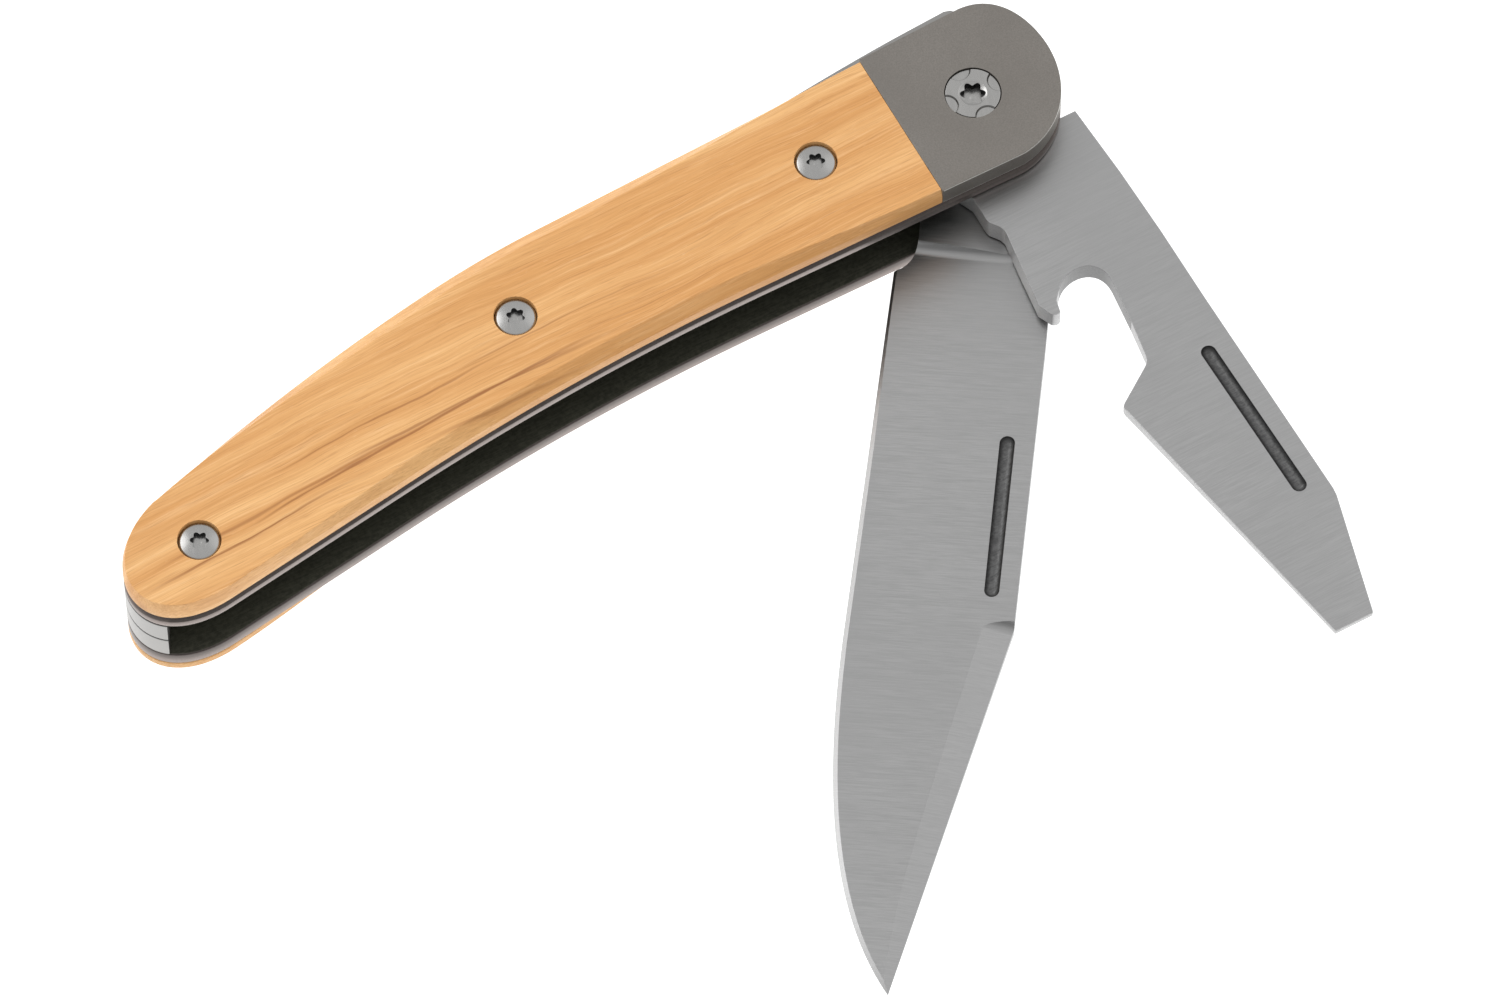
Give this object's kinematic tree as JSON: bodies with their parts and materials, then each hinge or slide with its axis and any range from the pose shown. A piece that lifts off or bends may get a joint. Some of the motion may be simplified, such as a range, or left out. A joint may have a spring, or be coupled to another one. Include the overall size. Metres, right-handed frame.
{
  "type": "folding whittling knife",
  "caption": "Folding slip-joint knife with a clip-point blade and a cap lifter on one pivot, back springs, wooden covers and metal bolsters, both tools part open.",
  "frame": {"origin": "where the pivot axis meets the outer face of the back cover and bolster", "axes": "+Z along the pivot axis, from the back face to the front face; +X from the tail of the handle to the pivot; +Y towards the spine side, so the tools come out towards -Y"},
  "size_m": [0.1009, 0.0834, 0.0134],
  "materials": {
    "olive_wood": "oiled olive wood, brown streaks along the handle",
    "blasted_titanium": "fine bead-blasted grey titanium",
    "liner_metal": "satin grey titanium",
    "blade_steel": "fine satin lines across the blade, ground bevels",
    "tool_steel": "fine satin",
    "spring_steel": "satin, lines along the spring",
    "screw_steel": "turned, lightly polished",
    "washer_bronze": "thin rolled bronze"
  },
  "bodies": {
    "handle": {"front_scale": "olive_wood", "back_scale": "olive_wood", "front_bolster": "blasted_titanium", "back_bolster": "blasted_titanium", "front_liner": "liner_metal", "back_liner": "liner_metal", "pivot_barrel": "screw_steel", "front_pivot_screw": "screw_steel", "back_pivot_screw": "screw_steel", "front_washer": "washer_bronze", "centre_washer": "washer_bronze", "back_washer": "washer_bronze", "front_scale_screws": "screw_steel", "back_scale_screws": "screw_steel", "front_bolster_screws": "screw_steel", "back_bolster_screws": "screw_steel", "mid_spring_pin": "screw_steel", "tail_spring_pin": "screw_steel"},
    "blade": {"main_blade": "blade_steel"},
    "lifter": {"cap_lifter": "tool_steel"},
    "blade_spring_arm": {"blade_spring": "spring_steel"},
    "lifter_spring_arm": {"lifter_spring": "spring_steel"}
  },
  "joints": [
    {"name": "blade_pivot", "type": "hinge", "parent": "handle", "child": "blade", "pos_m": [0, 0, 0.00533], "axis": [0, 0, 1], "range_deg": [-49, 125]},
    {"name": "lifter_pivot", "type": "hinge", "parent": "handle", "child": "lifter", "pos_m": [0, 0, 0.00807], "axis": [0, 0, 1], "range_deg": [-84, 90]},
    {"name": "blade_spring_flex", "type": "hinge", "parent": "handle", "child": "blade_spring_arm", "pos_m": [-0.0874, -0.0046, 0.0053], "axis": [0, 0, 1], "range_deg": [-1.28, 0], "stiffness_Nm_per_rad": 5, "deforming": ["blade_spring"]},
    {"name": "lifter_spring_flex", "type": "hinge", "parent": "handle", "child": "lifter_spring_arm", "pos_m": [-0.0874, -0.0046, 0.0081], "axis": [0, 0, 1], "range_deg": [-1.28, 0], "stiffness_Nm_per_rad": 5, "deforming": ["lifter_spring"]}
  ]
}
